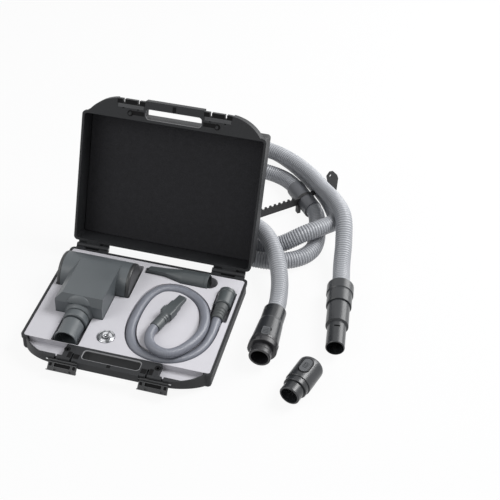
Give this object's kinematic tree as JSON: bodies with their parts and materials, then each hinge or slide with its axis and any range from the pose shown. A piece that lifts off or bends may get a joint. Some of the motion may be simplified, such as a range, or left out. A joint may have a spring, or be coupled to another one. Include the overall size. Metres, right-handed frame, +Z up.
{
  "type": "vacuum accessory kit",
  "caption": "Hinged carry case with foam insert holding a turbo brush, crevice nozzle and detail hose, with a corrugated extension hose and an adapter lying beside it.",
  "frame": {"origin": "centre of the carry case's bottom face, on the surface it stands on", "axes": "+X to the right seen from the handle side, +Y from the handle to the hinge, +Z up"},
  "size_m": [0.6327, 0.8874, 0.3577],
  "materials": {
    "case_plastic": "fine spark-eroded grain, satin",
    "light_foam": "closed-cell foam, cut edges",
    "dark_foam": "open-cell foam, speckled",
    "steel_pin": "drawn",
    "screw_steel": "plated",
    "latch_plastic": "satin",
    "tool_plastic": "fine grain",
    "sole_plastic": "smooth",
    "bush_brass": "turned",
    "belt_rubber": "matt",
    "roller_plastic": "smooth",
    "bristle_nylon": "bristles",
    "turbine_plastic": "smooth",
    "nozzle_plastic": "satin",
    "thin_hose_plastic": "corrugated, satin",
    "hose_plastic": "corrugated, satin",
    "soft_grip": "ribbed",
    "connector_plastic": "satin",
    "button_plastic": "satin",
    "disc_metal": "polished",
    "strap_rubber": "matt",
    "seal_rubber": "matt"
  },
  "bodies": {
    "case_and_hose": {"base_shell": "case_plastic", "base_foam": "light_foam", "hinge_pins": "steel_pin", "latch_pins": "steel_pin", "extension_hose": "hose_plastic", "hose_coupling": "connector_plastic", "hose_strap": "strap_rubber"},
    "lid": {"lid_shell": "case_plastic", "lid_foam": "dark_foam"},
    "latch_left": {"latch_left": "latch_plastic"},
    "latch_right": {"latch_right": "latch_plastic"},
    "brush": {"brush_housing": "tool_plastic", "brush_end_cap_left": "tool_plastic", "brush_end_cap_right": "tool_plastic", "brush_sole": "sole_plastic", "sole_screws": "screw_steel", "roller_bushes": "bush_brass", "turbine_bearings": "bush_brass", "drive_belt": "belt_rubber"},
    "roller": {"brush_roller": "roller_plastic", "roller_bristles": "bristle_nylon"},
    "turbine": {"turbine_wheel": "turbine_plastic"},
    "neck": {"neck_elbow": "tool_plastic", "neck_ring": "tool_plastic"},
    "sleeve": {"swivel_sleeve": "tool_plastic"},
    "crevice": {"crevice_nozzle": "nozzle_plastic"},
    "detail_hose": {"thin_hose": "thin_hose_plastic", "thin_hose_neck": "soft_grip", "detail_nozzle": "nozzle_plastic"},
    "cuff": {"thin_hose_cuff": "connector_plastic"},
    "disc": {"metal_disc": "disc_metal"},
    "locking_end": {"locking_sleeve": "connector_plastic", "locking_spigot": "connector_plastic", "spigot_seal": "seal_rubber"},
    "lock_button": {"lock_button": "button_plastic"},
    "stepped_end": {"stepped_collar": "connector_plastic", "stepped_tube": "connector_plastic"},
    "adapter": {"adapter_body": "connector_plastic", "adapter_spigot": "connector_plastic"},
    "adapter_button": {"adapter_button": "button_plastic"}
  },
  "joints": [
    {"name": "lid_hinge", "type": "hinge", "parent": "case_and_hose", "child": "lid", "pos_m": [0, 0.156, 0.038], "axis": [-1, 0, 0], "range_deg": [-110.5, 0]},
    {"name": "latch_left_hinge", "type": "hinge", "parent": "case_and_hose", "child": "latch_left", "pos_m": [-0.094, -0.182, 0.029], "axis": [1, 0, 0], "range_deg": [-130, 0]},
    {"name": "latch_right_hinge", "type": "hinge", "parent": "case_and_hose", "child": "latch_right", "pos_m": [0.094, -0.182, 0.029], "axis": [1, 0, 0], "range_deg": [-130, 0]},
    {"name": "brush_lift", "type": "slide", "parent": "case_and_hose", "child": "brush", "axis": [0, 0, 1], "range_m": [0, 0.12]},
    {"name": "roller_spin", "type": "hinge", "parent": "brush", "child": "roller", "pos_m": [-0.107, 0.077, 0.025], "axis": [1, 0, 0], "continuous": true},
    {"name": "turbine_spin", "type": "hinge", "parent": "brush", "child": "turbine", "pos_m": [-0.107, 0.036, 0.054], "axis": [1, 0, 0], "continuous": true},
    {"name": "neck_tilt", "type": "hinge", "parent": "brush", "child": "neck", "pos_m": [-0.107, -0.044, 0.038], "axis": [-1, 0, 0], "range_deg": [0, 15]},
    {"name": "sleeve_spin", "type": "hinge", "parent": "neck", "child": "sleeve", "pos_m": [-0.107, -0.1115, 0.038], "axis": [0, 1, 0], "continuous": true},
    {"name": "crevice_lift", "type": "slide", "parent": "case_and_hose", "child": "crevice", "axis": [0, 0, 1], "range_m": [0, 0.12]},
    {"name": "detail_hose_lift", "type": "slide", "parent": "case_and_hose", "child": "detail_hose", "axis": [0, 0, 1], "range_m": [0, 0.12]},
    {"name": "cuff_spin", "type": "hinge", "parent": "detail_hose", "child": "cuff", "pos_m": [0.168, 0.074, 0.036], "axis": [0, 1, 0], "continuous": true},
    {"name": "disc_lift", "type": "slide", "parent": "case_and_hose", "child": "disc", "axis": [0, 0, 1], "range_m": [0, 0.12]},
    {"name": "locking_end_spin", "type": "hinge", "parent": "case_and_hose", "child": "locking_end", "pos_m": [0.2755, 0.02, 0.0315], "axis": [0, 1, 0], "continuous": true},
    {"name": "lock_button_press", "type": "slide", "parent": "locking_end", "child": "lock_button", "axis": [0, 0, 1], "range_m": [-0.0025, 0], "stiffness_N_per_m": 400},
    {"name": "stepped_end_spin", "type": "hinge", "parent": "case_and_hose", "child": "stepped_end", "pos_m": [0.39831, 0.13045, 0.0285], "axis": [0.1219, -0.9925, 0], "continuous": true},
    {"name": "adapter_lift", "type": "slide", "parent": "case_and_hose", "child": "adapter", "axis": [0, 0, 1], "range_m": [0, 0.12]},
    {"name": "adapter_button_press", "type": "slide", "parent": "adapter", "child": "adapter_button", "axis": [0, 0, 1], "range_m": [-0.0022, 0], "stiffness_N_per_m": 400}
  ],
  "couplings": [
    {"joint": "turbine_spin", "follows": "roller_spin", "ratio": 2}
  ]
}
